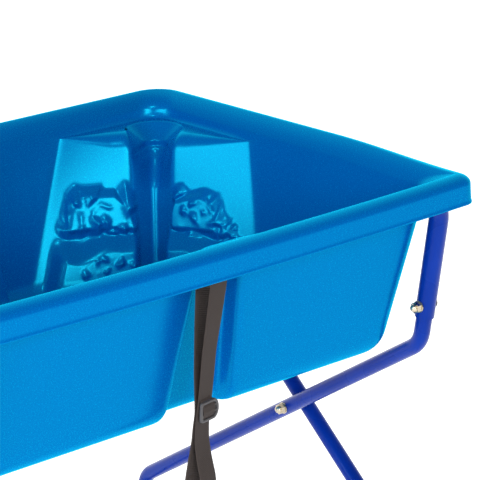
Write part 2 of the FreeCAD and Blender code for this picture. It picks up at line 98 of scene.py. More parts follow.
# the groove: radii of trough, neck and funnel, half mouths, and levels where they change
FUNNEL = np.array([304.0, 221.0])
FUNNEL_RADIUS = 40.0
FUNNEL_MOUTH = 34.0
FUNNEL_WRAP = 0.55
FUNNEL_ROUND = 2.5
NECK = 17.5
MOUTH = 27.0
TROUGH = (9.0, 14.0)
TROUGH_DEPTH = 12.0
CONE_LOW = 641.0
NECK_LOW = 632.0
TROUGH_TOP = 622.0
TOWARDS_CORNER = np.array([1.0, 1.0]) / math.sqrt(2.0)
SIDEWAYS = np.array([1.0, -1.0]) / math.sqrt(2.0)

# how widely the corners of a plan line are rounded, and how finely it is followed
BLOCK_SOFT = 4.5
WALL_SOFT = 2.0
PLAIN_SOFT = 1.0
PLAN_STEP = 0.5

# columns of the tub's mesh, counted round the tub
WAIST_COLUMNS = 110
RIGHT_COLUMNS = 50
FACE_COLUMNS = 90
GROOVE_COLUMNS = 44
BLOCK_START_COLUMNS = 8
LEFT_COLUMNS = 100
CORNER_SHARE = 24
HALF_BLOCK = FACE_COLUMNS + GROOVE_COLUMNS
BLOCK_FIRST = WAIST_COLUMNS + RIGHT_COLUMNS + CORNER_SHARE
FACES_FIRST = BLOCK_FIRST + BLOCK_START_COLUMNS
DIRECTION_PASSES = 12


# ------------------------------------------------------------ small helpers


def lerp(a, b, t):
    return a + (b - a) * t


def smoothstep(low_edge, high_edge, value):
    t = np.clip((value - low_edge) / (high_edge - low_edge), 0.0, 1.0)
    return t * t * (3.0 - 2.0 * t)


def unit(vectors):
    length = np.linalg.norm(vectors, axis=-1, keepdims=True)
    return vectors / np.maximum(length, 1e-9)


def distances(points):
    """How far along its line each point lies."""
    runs = np.linalg.norm(np.diff(points, axis=0), axis=1)
    return np.concatenate([[0.0], np.cumsum(runs)])


def at_places(places, along, points):
    """Points of a line at chosen distances along it."""
    return np.stack([np.interp(places, along, column) for column in points.T], axis=1)


def averaged(line, reach, spread):
    """A line smoothed over spread points, which loses reach points at each end."""
    weights = np.exp(-0.5 * (np.arange(-reach, reach + 1) / spread) ** 2)
    weights /= weights.sum()
    return np.stack([np.convolve(column, weights, "valid") for column in line.T], axis=1)


def smooth_loop(line, reach, spread):
    """A closed line of evenly spaced points with its corners rounded."""
    return averaged(np.concatenate([line[-reach:], line, line[:reach]]), reach, spread)


def softened(points, marks, counts, spread):
    """Rounds a plan line and samples it between marked corners.

    points is the raw line, marks the numbers of the points between which
    counts columns are spread evenly, and spread how widely corners are rounded.
    """
    points = np.array(points, float)
    along = distances(points)
    fine = np.linspace(0.0, along[-1], int(along[-1] / PLAN_STEP) + 1)
    line = at_places(fine, along, points)
    reach = int(4 * spread / PLAN_STEP)
    start = line[0] - (line[1:reach + 1][::-1] - line[0])
    end = line[-1] - (line[-reach - 1:-1][::-1] - line[-1])
    soft = averaged(np.concatenate([start, line, end]), reach, spread / PLAN_STEP)
    wanted = [
        np.linspace(along[first], along[last], count, endpoint=False)
        for first, last, count in zip(marks, marks[1:], counts)
    ]
    return at_places(np.concatenate(wanted), fine, soft)


def conic_rows(start, corner, end, count):
    """Rows of points on round arcs from start to end that turn at corner."""
    a = unit(start - corner)
    b = unit(end - corner)
    half = 0.5 * np.arccos(np.clip((a * b).sum(axis=1), -1.0, 1.0))
    weight = np.sin(half)[:, None]
    rows = []
    for t in np.linspace(0.0, 1.0, count):
        below = (1 - t) ** 2 + 2 * t * (1 - t) * weight + t * t
        rows.append(
            ((1 - t) ** 2 * start + 2 * t * (1 - t) * weight * corner + t * t * end) / below
        )
    return rows


def with_level(plan, level):
    """Plan points with a height."""
    return np.column_stack([plan, np.broadcast_to(level, len(plan))])


# ------------------------------------------------- plan lines of the tub


def wall_length(level):
    """Half the inside length of the tub at a level."""
    return WALL_LENGTH + SLOPE * (level - LIP_LEVEL)


def wall_width(level):
    """Half the inside width of the tub at a level."""
    return WALL_WIDTH + SLOPE * (level - LIP_LEVEL)


def corner_arc(centre, radius, first_degrees):
    """Points of a quarter circle, counted anticlockwise."""
    turns = np.radians(np.linspace(first_degrees, first_degrees + 90.0, 13))
    return [(centre[0] + radius * math.cos(t), centre[1] + radius * math.sin(t)) for t in turns]


def waist_line(side, level, sunk):
    """The wall across a waist, from left to right. sunk is how deep it is, 0 to 1."""
    width = wall_width(level)
    up = (level - FLOOR) / (RIM_TOP - FLOOR)
    left = lerp(*WAIST_LEFT, up) - SKIN
    right = lerp(*WAIST_RIGHT, up) + SKIN
    inner = width - WAIST_DEPTH * sunk
    outline = [
        (-WAIST_REACH, width),
        (left - WAIST_EDGE / 2, width),
        (left + 1.0, inner),
        (right - 1.0, inner),
        (right + WAIST_EDGE / 2, width),
        (WAIST_REACH, width),
    ]
    return [(x, side * y) for x, y in outline]


def groove_measures(level):
    """Radius, depth, half mouth and wrap of the groove and of the funnel above it."""
    depth = float(np.dot(FUNNEL - block_middle(level), TOWARDS_CORNER))
    if level > CONE_LOW:
        up = (level - CONE_LOW) / (LEDGE - CONE_LOW)
        wrap = FUNNEL_WRAP * smoothstep(0.45, 1.0, up)
        return lerp(NECK, FUNNEL_RADIUS, up), depth, lerp(MOUTH, FUNNEL_MOUTH, up), wrap
    if level > NECK_LOW:
        return NECK, depth, MOUTH, 0.0
    radius = lerp(*TROUGH, smoothstep(TROUGH_TOP - 6.0, NECK_LOW, level))
    shallow = lerp(TROUGH_DEPTH, depth, smoothstep(TROUGH_TOP - 40.0, NECK_LOW, level))
    return radius, shallow, MOUTH, 0.0


def groove_outline(level):
    """Right half of the groove as (sideways, depth) points, from its mouth to its back."""
    radius, depth, mouth, wrap = groove_measures(level)
    points = [(mouth, 0.0)]
    if radius < NECK:
        points.append((radius + 8.0, depth * 0.3))
    turns = np.linspace(-wrap, math.pi / 2, 20)
    points += [(radius * math.cos(t), depth + radius * math.sin(t)) for t in turns]
    return points


def block_up(level):
    """0 at the foot of the waterfall corner, 1 at its ledge."""
    return (level - BLOCK_FOOT) / (LEDGE - BLOCK_FOOT)


def block_middle(level):
    """Where the two faces would meet without the groove."""
    up = block_up(level)
    return np.stack([lerp(*MIDDLE_X, up), lerp(*MIDDLE_Y, up)], axis=-1)


def block_ends(level):
    """Where the faces meet the end wall and the far wall."""
    up = block_up(level)
    right = np.stack([wall_length(level), lerp(*RIGHT_END_Y, up)], axis=-1)
    far = np.stack([lerp(*FAR_END_X, up), wall_width(level)], axis=-1)
    return right, far


def block_line(level):
    """The waterfall corner from the end wall to the far wall, and its marks."""
    middle = block_middle(level)
    right, far = block_ends(level)
    half = groove_outline(level)
    mouth = half[0][0] * 1.05
    on_right = middle + unit(right - middle) * mouth
    on_far = middle + unit(far - middle) * mouth
    bite = [middle + SIDEWAYS * w + TOWARDS_CORNER * d for w, d in half[1:]]
    back = [middle - SIDEWAYS * w + TOWARDS_CORNER * d for w, d in half[1:-1]]
    points = [(wall_length(level), BLOCK_START), right, on_right] + bite + back[::-1]
    points += [on_far, far, (WAIST_REACH, wall_width(level))]
    return points, block_marks(points, 2 + len(bite))


def block_marks(points, middle):
    """Corners between which the columns of the waterfall corner are shared out."""
    last = len(points) - 1
    return [0, 1, 2, middle, last - 2, last - 1, last]


def plain_corner_line(level):
    """The same stretch of wall where there is no waterfall corner."""
    length, width = wall_length(level), wall_width(level)
    right, far = block_ends(LEDGE)
    arc = corner_arc((length - WALL_CORNER, width - WALL_CORNER), WALL_CORNER, 0.0)
    points = [(length, BLOCK_START), (length, right[1]), (length, PLAIN_CORNER[1])]
    points += arc[1:-1]
    points += [(PLAIN_CORNER[0], width), (far[0], width), (WAIST_REACH, width)]
    return points, block_marks(points, 2 + len(arc) // 2)


def right_line(level):
    """The wall from the near waist round the near right corner, softened."""
    length, width = wall_length(level), wall_width(level)
    arc = corner_arc((length - WALL_CORNER, WALL_CORNER - width), WALL_CORNER, -90.0)
    points = [(WAIST_REACH, -width)] + arc + [(length, BLOCK_START)]
    counts = [RIGHT_COLUMNS // 2, CORNER_SHARE, RIGHT_COLUMNS // 2]
    return softened(points, [0, 1, len(arc), len(arc) + 1], counts, WALL_SOFT)


def left_line(level):
    """The wall round both left corners, softened."""
    length, width = wall_length(level), wall_width(level)
    first = corner_arc((WALL_CORNER - length, width - WALL_CORNER), WALL_CORNER, 90.0)
    second = corner_arc((WALL_CORNER - length, WALL_CORNER - width), WALL_CORNER, 180.0)
    points = [(-WAIST_REACH, width)] + first + second + [(-WAIST_REACH, -width)]
    marks = [0, 1, len(first), len(first) + 1, 2 * len(first), 2 * len(first) + 1]
    quarter = LEFT_COLUMNS // 4
    counts = [quarter, CORNER_SHARE, quarter * 2, CORNER_SHARE, quarter]
    return softened(points, marks, counts, WALL_SOFT)


def contour(level, with_block=True):
    """Plan points of the inner skin at a level, anticlockwise from the near left."""
    sunk = 1.0 - smoothstep(LIP_LEVEL, WAIST_TOP, level)
    near = waist_line(-1, level, sunk)
    far = waist_line(1, level, sunk)[::-1]
    points, marks = block_line(level) if with_block else plain_corner_line(level)
    counts = [BLOCK_START_COLUMNS, FACE_COLUMNS, GROOVE_COLUMNS]
    spread = BLOCK_SOFT if with_block else PLAIN_SOFT
    pieces = [
        softened(near, [0, 5], [WAIST_COLUMNS], BLOCK_SOFT),
        right_line(level),
        softened(points, marks, counts + counts[::-1], spread),
        softened(far, [0, 5], [WAIST_COLUMNS], BLOCK_SOFT),
        left_line(level),
    ]
    return np.concatenate(pieces)


def outward(plan, level):
    """Unit directions out of the walls at plan points."""
    core = np.array([wall_length(level) - WALL_CORNER, wall_width(level) - WALL_CORNER])
    return unit(plan - np.clip(plan, -core, core))


def floor_directions(level):
    """Directions into the tub in which the floor's round edge runs."""
    inward = -outward(contour(level), level)
    block_last = FACES_FIRST + 2 * HALF_BLOCK + BLOCK_START_COLUMNS
    right, far = block_ends(level)
    middle = block_middle(level)
    off_right = -np.abs(unit(right - middle)[::-1])
    off_far = -np.abs(unit(far - middle)[::-1])
    share = np.linspace(0.0, 1.0, block_last - BLOCK_FIRST)[:, None]
    turned = lerp(off_right, off_far, smoothstep(0.25, 0.75, share))
    edge = smoothstep(0.0, 0.06, share) * (1 - smoothstep(0.94, 1.0, share))
    straight = lerp(np.array([-1.0, 0.0]), np.array([0.0, -1.0]), smoothstep(0.4, 0.6, share))
    inward[BLOCK_FIRST:block_last] = unit(lerp(straight, turned, edge))
    for _ in range(DIRECTION_PASSES):
        inward = unit(inward + 0.5 * (np.roll(inward, 1, axis=0) + np.roll(inward, -1, axis=0)))
    return inward


# ------------------------------------------------------------------- rocks

FACET_SHARPNESS = 14.0
UNION_SHARPNESS = 0.7
MOUND_SHARE = 0.72
SHELF = 19.0
SHELF_RISE = 30.0
ROCKS_END = 600.0
ROCKS_FADE = 6.0


def rock_facets(rng):
    """Steep sides of a boulder: the direction, distance and slope of each."""
    sides = int(rng.integers(4, 7))
    facets = []
    for side in range(sides):
        angle = 2 * math.pi * (side + rng.uniform(-0.3, 0.3)) / sides
        facets.append((angle, rng.uniform(0.7, 1.15), rng.uniform(0.7, 1.6)))
    return facets


def rock(across, up, spacing, tall, rng):
    """A boulder near a spot: centre, half sizes, height, turn, tilt and facets."""
    half = spacing * rng.uniform(0.62, 0.95)
    facets = rock_facets(rng)
    return {
        "across": across + rng.uniform(-0.3, 0.3) * spacing,
        "up": up + rng.uniform(-0.3, 0.3) * spacing,
        "half_across": half * rng.uniform(0.8, 1.3),
        "half_up": half * rng.uniform(0.8, 1.2),
        "tall": tall * rng.uniform(0.8, 1.15),
        "turn": math.radians(rng.uniform(-45, 45)),
        "tilt": (rng.normal(0.0, 0.26), rng.normal(-0.08, 0.3)),
        "facets": facets,
    }


def heap(outline, spacing, tall, seed):
    """Boulders of mixed size and tilt, strewn inside an outline of (across, low, high)."""
    rng = np.random.default_rng(seed)
    stations = np.array(outline, float)
    boulders = []
    for number, across in enumerate(np.arange(stations[0, 0], stations[-1, 0] + 1, spacing)):
        low_level = np.interp(across, stations[:, 0], stations[:, 1])
        high_level = np.interp(across, stations[:, 0], stations[:, 2])
        shift = 0.5 * spacing * (number % 2)
        for up in np.arange(low_level + shift, high_level + 1, spacing):
            boulders.append(rock(across, up, spacing, tall, rng))
    return boulders


def rock_height(across, up, boulder):
    """How far one boulder stands out of its face."""
    beside = across - boulder["across"]
    above = up - boulder["up"]
    cos, sin = math.cos(boulder["turn"]), math.sin(boulder["turn"])
    x = (beside * cos + above * sin) / boulder["half_across"]
    y = (above * cos - beside * sin) / boulder["half_up"]
    height = 1.0 + boulder["tilt"][0] * x + boulder["tilt"][1] * y
    for angle, reach, steep in boulder["facets"]:
        side = steep * (reach - (x * math.cos(angle) + y * math.sin(angle)))
        height = -np.logaddexp(-FACET_SHARPNESS * height, -FACET_SHARPNESS * side)
        height /= FACET_SHARPNESS
    return boulder["tall"] * height


def stacked(ground, heights):
    """Smooth union of boulders with the ground they stand on."""
    result = ground * UNION_SHARPNESS
    for height in heights:
        result = np.logaddexp(result, height * UNION_SHARPNESS)
    return result / UNION_SHARPNESS


# outline (across from the groove, lowest, highest), spacing, height and seed of each heap
FAR_HEAPS = [
    ([(26, 538, 548), (40, 536, 576), (54, 540, 590), (96, 541, 593), (122, 540, 584)], 19.0, 13.0, 4),
    ([(30, 476, 502), (60, 476, 517), (84, 476, 516), (104, 476, 502)], 17.0, 27.0, 9),
]
RIGHT_HEAPS = [
    ([(28, 540, 554), (36, 538, 580), (60, 540, 588), (84, 540, 588), (98, 540, 572)], 17.0, 13.0, 7),
    ([(104, 538, 558), (124, 538, 548)], 9.0, 8.0, 3),
]

# level of each shelf's edge and how long its waves are
FAR_SHELF = (536.0, 24.0)
RIGHT_SHELF = (538.0, 21.0)


def mound(across, up, outline, tall):
    """The raised ground under a heap, soft at its edges."""
    stations = np.array(outline, float)
    low_level = np.interp(across, stations[:, 0], stations[:, 1])
    high_level = np.interp(across, stations[:, 0], stations[:, 2])
    from_start = smoothstep(-4.0, 5.0, across - stations[0, 0])
    from_end = smoothstep(-4.0, 5.0, stations[-1, 0] - across)
    from_low = smoothstep(-3.0, 6.0, up - low_level)
    from_high = smoothstep(-3.0, 6.0, high_level - up)
    return tall * from_start * from_end * from_low * from_high


def terrace(across, up, shelf):
    """The smooth shelf below the upper rocks."""
    edge_level, wave = shelf
    lip = edge_level + 5.0 * np.sin(across / wave) + 3.0 * np.sin(across / wave * 2.3 + 1.0)
    return SHELF * smoothstep(0.0, 1.0, (lip + 4.0 - up) / SHELF_RISE)


def rocky(points, ends, heaps, shelf):
    """Moves the points of one face out by its shelf, mounds and boulders."""
    middles, far_ends = ends
    levels = points[..., 2]
    reach = np.linalg.norm(far_ends - middles, axis=-1)
    run = unit(far_ends - middles)
    across = ((points[..., :2] - middles) * run).sum(axis=-1)
    ground = terrace(across, levels, shelf)
    boulders = []
    for outline, spacing, tall, seed in heaps:
        ground = np.maximum(ground, mound(across, levels, outline, tall * MOUND_SHARE))
        boulders += heap(outline, spacing, tall, seed)
    heights = stacked(ground, [rock_height(across, levels, boulder) for boulder in boulders])
    keep = smoothstep(16.0, 30.0, across) * smoothstep(14.0, 40.0, reach - across)
    off = -np.abs(run[..., ::-1])
    moved = points.copy()
    moved[..., :2] += off * (heights * keep)[..., None]
    return moved


# ---------------------------------------------------------------- tub skin

ABOVE_ROCKS = 620.0
ROCK_ROW_STEP = 1.9
NEAR_DROP = 5.5
NEAR_BOW = 7.0
NEAR_BOW_RANGE = (262.0, 300.0)
FAR_BOW = 4.0
FAR_BOW_RANGE = (120.0, 290.0)
SAG = 1.5
FAR_ROLL = 13.0
NEAR_ROLL = 18.0
ROLL_FALL = 12.0
CREST_WIDTH = 3.0
CREST_TILT = math.radians(24.0)
WALL_MEETS_RIM = 8.0
WALL_ROUND = 13.0
LIP_OUT = 0.9
LIP_BAND = 4.5


def table_of_contours():
    """Contours of the inner skin a millimetre apart, with their levels."""
    levels = np.arange(FLOOR_TOP - 8.0, LEDGE + 0.01, 1.0)
    return levels, np.stack([contour(level) for level in levels])


def sampled(levels, table, wanted):
    """Points of the table's columns, each at its own wanted level."""
    place = np.clip((wanted - levels[0]) / (levels[1] - levels[0]), 0, len(levels) - 1.001)
    lower = place.astype(int)
    share = (place - lower)[:, None]
    columns = np.arange(table.shape[1])
    plan = table[lower, columns] * (1 - share) + table[lower + 1, columns] * share
    return np.column_stack([plan, wanted])


def ring(points, half_length, half_width, radius):
    """Maps wall points on to another rounded rectangle round them."""
    core = np.array([wall_length(RIM_TOP) - WALL_CORNER, wall_width(RIM_TOP) - WALL_CORNER])
    held = np.clip(points, -core, core)
    scale = np.stack([half_length - radius, half_width - radius], axis=1) / core
    return held * scale + unit(points - held) * radius[:, None]


def ledge_depth(back):
    """How deep the ledge is in each column, nothing outside the waterfall corner."""
    number = np.arange(len(back))
    on_block = (number >= FACES_FIRST) & (number <= FACES_FIRST + 2 * HALF_BLOCK)
    return np.where(on_block, np.linalg.norm(back, axis=1), 0.0)


def ledge_edge(deep):
    """Radius of the ledge's front edge, small round the funnel."""
    from_middle = np.abs(np.arange(len(deep)) - (FACES_FIRST + HALF_BLOCK))
    in_funnel = 1 - smoothstep(GROOVE_COLUMNS - 14, GROOVE_COLUMNS + 2, from_middle)
    return np.minimum(lerp(LEDGE_ROUND, FUNNEL_ROUND, in_funnel), 0.4 * deep + 0.05)


def ledge_rows(levels, table):
    """Rows over the front edge of the ledge, along it and up the wall behind."""
    corner = sampled(levels, table, np.full(table.shape[1], LEDGE))
    wall = with_level(contour(LEDGE, with_block=False), LEDGE)
    deep = ledge_depth(wall - corner)
    has_ledge = deep[:, None] > 0.5
    direction = np.where(has_ledge, unit(wall - corner), np.array([0.0, 0.0, 1.0]))
    front = ledge_edge(deep)
    foot = np.minimum(LEDGE_FOOT, 0.3 * deep + 0.05)
    start = sampled(levels, table, LEDGE - front)
    end = corner + direction * front[:, None]
    rows = conic_rows(start, corner, end, 7)
    wall_foot = np.where(has_ledge, wall, corner + [0.0, 0.0, MERGE])
    before = wall_foot - direction * foot[:, None]
    rows += [lerp(end, before, share) for share in np.linspace(0.0, 1.0, 12)[1:-1]]
    up_level = LEDGE + foot + 0.1
    after = with_level(wall[:, :2], up_level)
    after[:, :2] += outward(wall[:, :2], LEDGE) * (SLOPE * (up_level - LEDGE))[:, None]
    rows += conic_rows(before, wall_foot, after, 6)
    return blended_with_wall(levels, table, deep, start, rows, up_level)


def blended_with_wall(levels, table, deep, start, rows, up_level):
    """Turns the ledge's rows into plain wall where there is no ledge."""
    plain = np.minimum(deep[:, None] / 1.5, 1.0)
    low_wall = sampled(levels, table, np.full(len(deep), LEDGE - 4.0))
    high_wall = with_level(contour(LEDGE + 5.0, with_block=False), LEDGE + 5.0)
    start = lerp(low_wall, start, plain)
    up_level = lerp(high_wall[:, 2], up_level, plain[:, 0])
    last = len(rows) - 1
    rows = [
        lerp(lerp(low_wall, high_wall, number / last), row, plain)
        for number, row in enumerate(rows)
    ]
    return start, rows, up_level


def skin_rows():
    """Rows of the visible skin, from the edge of the flat floor to over the ledge."""
    levels, table = table_of_contours()
    columns = table.shape[1]
    straight_foot = FLOOR_TOP + FLOOR_ROUND
    start = sampled(levels, table, np.full(columns, straight_foot))
    corner = sampled(levels, table, np.full(columns, FLOOR_TOP))
    edge = corner.copy()
    edge[:, :2] += floor_directions(FLOOR_TOP) * FLOOR_ROUND
    rows = conic_rows(edge, corner, start, 10)[:-1]
    ledge_start, over_ledge, up_level = ledge_rows(levels, table)
    for level in np.arange(straight_foot, ABOVE_ROCKS, ROCK_ROW_STEP):
        rows.append(sampled(levels, table, np.full(columns, level)))
    for share in np.linspace(0.0, 1.0, 36)[:-1]:
        rows.append(sampled(levels, table, lerp(ABOVE_ROCKS, ledge_start[:, 2], share)))
    return rows + over_ledge, up_level


def add_rocks(points):
    """Shelves and rocks on both faces, on a stack of rows."""
    levels = points[..., 2]
    right = slice(FACES_FIRST, FACES_FIRST + HALF_BLOCK)
    far = slice(FACES_FIRST + HALF_BLOCK, FACES_FIRST + 2 * HALF_BLOCK)
    middle = block_middle(levels)
    right_end, far_end = block_ends(levels)
    fade = 1 - smoothstep(ROCKS_END, ROCKS_END + ROCKS_FADE, levels)
    for part, end, heaps, shelf in (
        (right, right_end, RIGHT_HEAPS, RIGHT_SHELF),
        (far, far_end, FAR_HEAPS, FAR_SHELF),
    ):
        moved = rocky(points[:, part], (middle[:, part], end[:, part]), heaps, shelf)
        points[:, part] = lerp(points[:, part], moved, fade[:, part][..., None])
    return points


def rim_loop(rim_wall, inset, level):
    """A line round the rim, inset from the skirt's lip."""
    corner_radius = np.where(rim_wall[:, 1] > 0, FAR_CORNER, NEAR_CORNER)
    inset = np.broadcast_to(inset, len(corner_radius))
    radius = np.maximum(corner_radius - inset, 4.0)
    return with_level(ring(rim_wall, LIP_LENGTH - inset, LIP_WIDTH - inset, radius), level)


def skirt_rows(outer, rim_wall):
    """Rows from the rim's outer edge down to the flared lip."""
    above = rim_loop(rim_wall, LIP_OUT, LIP_LEVEL + LIP_BAND)
    lip = rim_loop(rim_wall, 0.0, LIP_LEVEL)
    rows = [lerp(outer, above, share) for share in np.linspace(0.0, 1.0, 9)[1:]]
    for share in (0.35, 0.7, 1.0):
        row = lerp(above, lip, smoothstep(0.0, 0.8, share))
        row[:, 2] = lerp(above, lip, share)[:, 2]
        rows.append(row)
    return rows


def rim_rows(up_level):
    """Rows from above the ledge over the rounded rim and down the skirt."""
    rim_wall = contour(RIM_TOP, with_block=False)
    ledge_wall = contour(LEDGE, with_block=False)
    near = smoothstep(-60.0, -240.0, rim_wall[:, 1])
    top = RIM_TOP - NEAR_DROP * near
    crest_inset = FLARE + lerp(FAR_ROLL, NEAR_ROLL, near)

    def on_wall(level):
        share = ((level - LEDGE) / (RIM_TOP - LEDGE))[:, None]
        return with_level(lerp(ledge_wall, rim_wall, share), level)

    meet_level = top - WALL_MEETS_RIM
    stop = meet_level - WALL_ROUND
    rows = [on_wall(lerp(up_level, stop, share)) for share in np.linspace(0.0, 1.0, 5)[1:-1]]
    inner_level = top - CREST_WIDTH * math.tan(CREST_TILT) * 0.5
    inner = rim_loop(rim_wall, crest_inset + CREST_WIDTH, inner_level)
    rows += conic_rows(on_wall(stop), on_wall(meet_level), inner, 14)[:-1]
    crest = rim_loop(rim_wall, crest_inset, top)
    rows += conic_rows(inner, rim_loop(rim_wall, crest_inset + CREST_WIDTH / 2, top), crest, 4)
    outer = rim_loop(rim_wall, FLARE, top - ROLL_FALL)
    rows += conic_rows(crest, rim_loop(rim_wall, FLARE, top), outer, 12)[1:]
    return rows + skirt_rows(outer, rim_wall)


def bowed(points):
    """Lets the long sides bow out and sag a little, as a thin moulding does.

    On the near side only the rim and skirt bow, and the wall stays clear of the rail.
    """
    x, y, z = points[..., 0], points[..., 1], points[..., 2]
    middle = 1 - np.minimum(np.abs(x) / LIP_LENGTH, 1.0) ** 2
    near_side = smoothstep(*NEAR_BOW_RANGE, -y)
    far_side = smoothstep(*FAR_BOW_RANGE, y)
    side = np.where(y < 0, near_side, far_side)
    share = middle * side * smoothstep(FLOOR, RIM_TOP, z)
    moved = points.copy()
    moved[..., 1] += np.where(y < 0, -NEAR_BOW, FAR_BOW) * share
    moved[..., 2] -= SAG * share
    return moved


def mesh_object(name, vertices, faces):
    """A mesh object from millimetre points."""
    mesh = bpy.data.meshes.new(name)
    mesh.from_pydata((np.asarray(vertices) * MM).tolist(), [], faces)
    mesh.update()
    made = bpy.data.objects.new(name, mesh)
    bpy.context.scene.collection.objects.link(made)
    return made


def tube_faces(rings, around, closed=False, turned=False):
    """Quads between rings of points, joined end to end if closed, turned over if asked."""
    faces = []
    for row in range(rings if closed else rings - 1):
        base = row * around
        after = (row + 1) % rings * around
        for k in range(around):
            beside = (k + 1) % around
            face = (base + k, after + k, after + beside, base + beside)
            faces.append(face[:1] + face[:0:-1] if turned else face)
    return faces


def make_tub():
    """The moulded tub as one skin with thickness."""
    rows, up_level = skin_rows()
    rows = add_rocks(np.stack(rows))
    rows = np.concatenate([rows, np.stack(rim_rows(up_level))])
    rows = bowed(rows)
    count, columns = rows.shape[:2]
    faces = tube_faces(count, columns)
    faces.append(tuple(range(columns)))
    tub = mesh_object("tub_moulding", rows.reshape(-1, 3), faces)
    work = bmesh.new()
    work.from_mesh(tub.data)
    bmesh.ops.remove_doubles(work, verts=work.verts, dist=MERGE * MM)
    bmesh.ops.dissolve_degenerate(work, edges=work.edges, dist=SLIVER * MM)
    work.to_mesh(tub.data)
    work.free()
    thick = tub.modifiers.new("skin", "SOLIDIFY")
    thick.thickness = SKIN * MM
    thick.offset = -1.0
    return tub


tub = make_tub()
tub.data.shade_smooth()
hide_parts("tub_shell")
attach(tub, "tub")


# -------------------------------------------------------- strap and buckle


def soft_path(stations, step):
    """Closed smooth line through stations, with their extra values carried along."""
    points = np.array(stations + stations[:1], float)
    along = distances(points[:, :3])
    places = np.linspace(0.0, along[-1], int(along[-1] / step), endpoint=False)
    spread = 4.0 / step
    return smooth_loop(at_places(places, along, points), int(4 * spread), spread)


def directions(line, closed):
    """Unit directions along a line of points."""
    ahead = np.roll(line, -1, axis=0) - np.roll(line, 1, axis=0)
    if not closed:
        ahead[0] = line[1] - line[0]
        ahead[-1] = line[-1] - line[-2]
    return unit(ahead)


def band_section(half_width, thickness):
    """Outline of a band across its length, as (across, off) points."""
    edge = np.linspace(-1.0, 1.0, 17)
    upper = [(half_width * v, thickness / 2 * (1 - v ** 10) ** 0.5 + 0.02) for v in edge]
    return upper + [(u, -v) for u, v in upper[::-1]]


def band(line, half_width, thickness, ribs, closed):
    """Vertices and faces of a woven band swept along a line of stations.

    Each station is x, y, z and the turn of the band about its length.
    """
    path = line[:, :3]
    ahead = directions(path, closed)
    turn = np.radians(line[:, 3])
    across = np.stack([np.cos(turn), np.sin(turn), np.zeros(len(turn))], axis=1)
    across = unit(across - ahead * (across * ahead).sum(axis=1)[:, None])
    off = np.cross(ahead, across)
    along = distances(path)
    rings = []
    for u, v in band_section(half_width, thickness):
        phase = 2 * math.pi * (along + 0.22 * u) / RIB_SPACING
        inner = 1 - (abs(u) / half_width) ** 6
        bulge = ribs * 0.5 * np.sin(phase) * inner * math.copysign(1.0, v)
        rings.append(path + across * u + off * (v + bulge)[:, None])
    grid = np.stack(rings, axis=1)
    count, around = grid.shape[:2]
    faces = tube_faces(count, around, closed, turned=True)
    if not closed:
        faces.append(tuple(range(around))[::-1])
        faces.append(tuple((count - 1) * around + k for k in range(around)))
    return grid.reshape(-1, 3), faces


def joined(*pieces):
    """Several vertex and face lists as one."""
    vertices, faces = [], []
    for some_vertices, some_faces in pieces:
        start = len(vertices)
        vertices.extend(np.asarray(some_vertices).tolist())
        faces.extend(tuple(start + k for k in face) for face in some_faces)
    return vertices, faces


RIB_SPACING = 2.3
WEBBING_HALF_WIDTH = 12.5
WEBBING_THICKNESS = 1.5
PAD_HALF_WIDTH = 10.0
PAD_THICKNESS = 1.6
PAD_RIBS = 0.18

# x, y, z and turn of the webbing, and the depth of its ribs, once round the loop
STRAP_STATIONS = [
    (-22.0, -296.2, 681.2, 0, 0.10),
    (-21.6, -306.0, 677.2, 0, 0.10),
    (-21.0, -309.9, 667.5, 0, 0.10),
    (-20.6, -306.3, 642.0, 0, 0.10),
    (-23.5, -299.5, 600.0, 5, 0.12),
    (-26.6, -293.3, 562.0, 9, 0.16),
    (-26.9, -285.4, 515.0, 10, 0.14),
    (-27.4, -282.6, 498.0, 10, 0.14),
    (-28.0, -280.3, 484.0, 9, 0.14),
    (-29.3, -278.1, 466.0, 9, 0.20),
    (-29.6, -276.9, 446.0, 8, 0.28),
    (-28.0, -277.8, 425.0, 6, 0.36),
    (-25.0, -280.8, 398.0, 4, 0.36),
    (-25.0, -281.5, 368.0, 2, 0.36),
    (-27.0, -276.0, 346.0, 0, 0.30),
    (-30.0, -266.5, 342.0, 0, 0.30),
    (-33.0, -259.5, 352.0, 0, 0.30),
    (-35.5, -262.5, 378.0, 0, 0.30),
    (-36.2, -267.0, 400.0, 0, 0.36),
    (-34.5, -271.0, 424.0, 3, 0.36),
    (-31.8, -274.2, 448.0, 7, 0.40),
    (-30.8, -275.8, 466.0, 9, 0.44),
    (-28.8, -278.0, 484.0, 9, 0.44),
    (-28.5, -278.6, 503.0, 7, 0.44),
    (-27.8, -279.2, 533.0, 4, 0.44),
    (-24.5, -280.3, 590.0, 0, 0.44),
    (-22.1, -281.6, 631.0, 0, 0.44),
    (-22.0, -282.5, 667.5, 0, 0.40),
    (-22.0, -286.4, 677.2, 0, 0.20),
]

# the same for the folded end that shows in the buckle
PAD_STATIONS = [
    (-26.5, -282.9, 499.5, 9),
    (-26.0, -285.0, 496.5, 9),
    (-25.0, -287.2, 491.0, 9),
    (-24.6, -287.6, 485.0, 9),
    (-24.6, -286.0, 479.5, 9),
    (-25.0, -283.0, 475.5, 9),
]


def make_strap():
    """The loop of webbing over the rail, with the folded end in its buckle."""
    line = soft_path(STRAP_STATIONS, 0.5)
    loop = band(line, WEBBING_HALF_WIDTH, WEBBING_THICKNESS, line[:, 4], True)
    stations = np.array(PAD_STATIONS, float)
    numbers = np.arange(len(stations))
    pad_line = at_places(np.linspace(0.0, numbers[-1], 60), numbers, stations)
    pad = band(pad_line, PAD_HALF_WIDTH, PAD_THICKNESS, PAD_RIBS, False)
    strap = mesh_object("strap_webbing", *joined(loop, pad))
    strap.data.shade_smooth()
    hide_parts("strap_loop")
    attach(strap, "strap")
    return strap


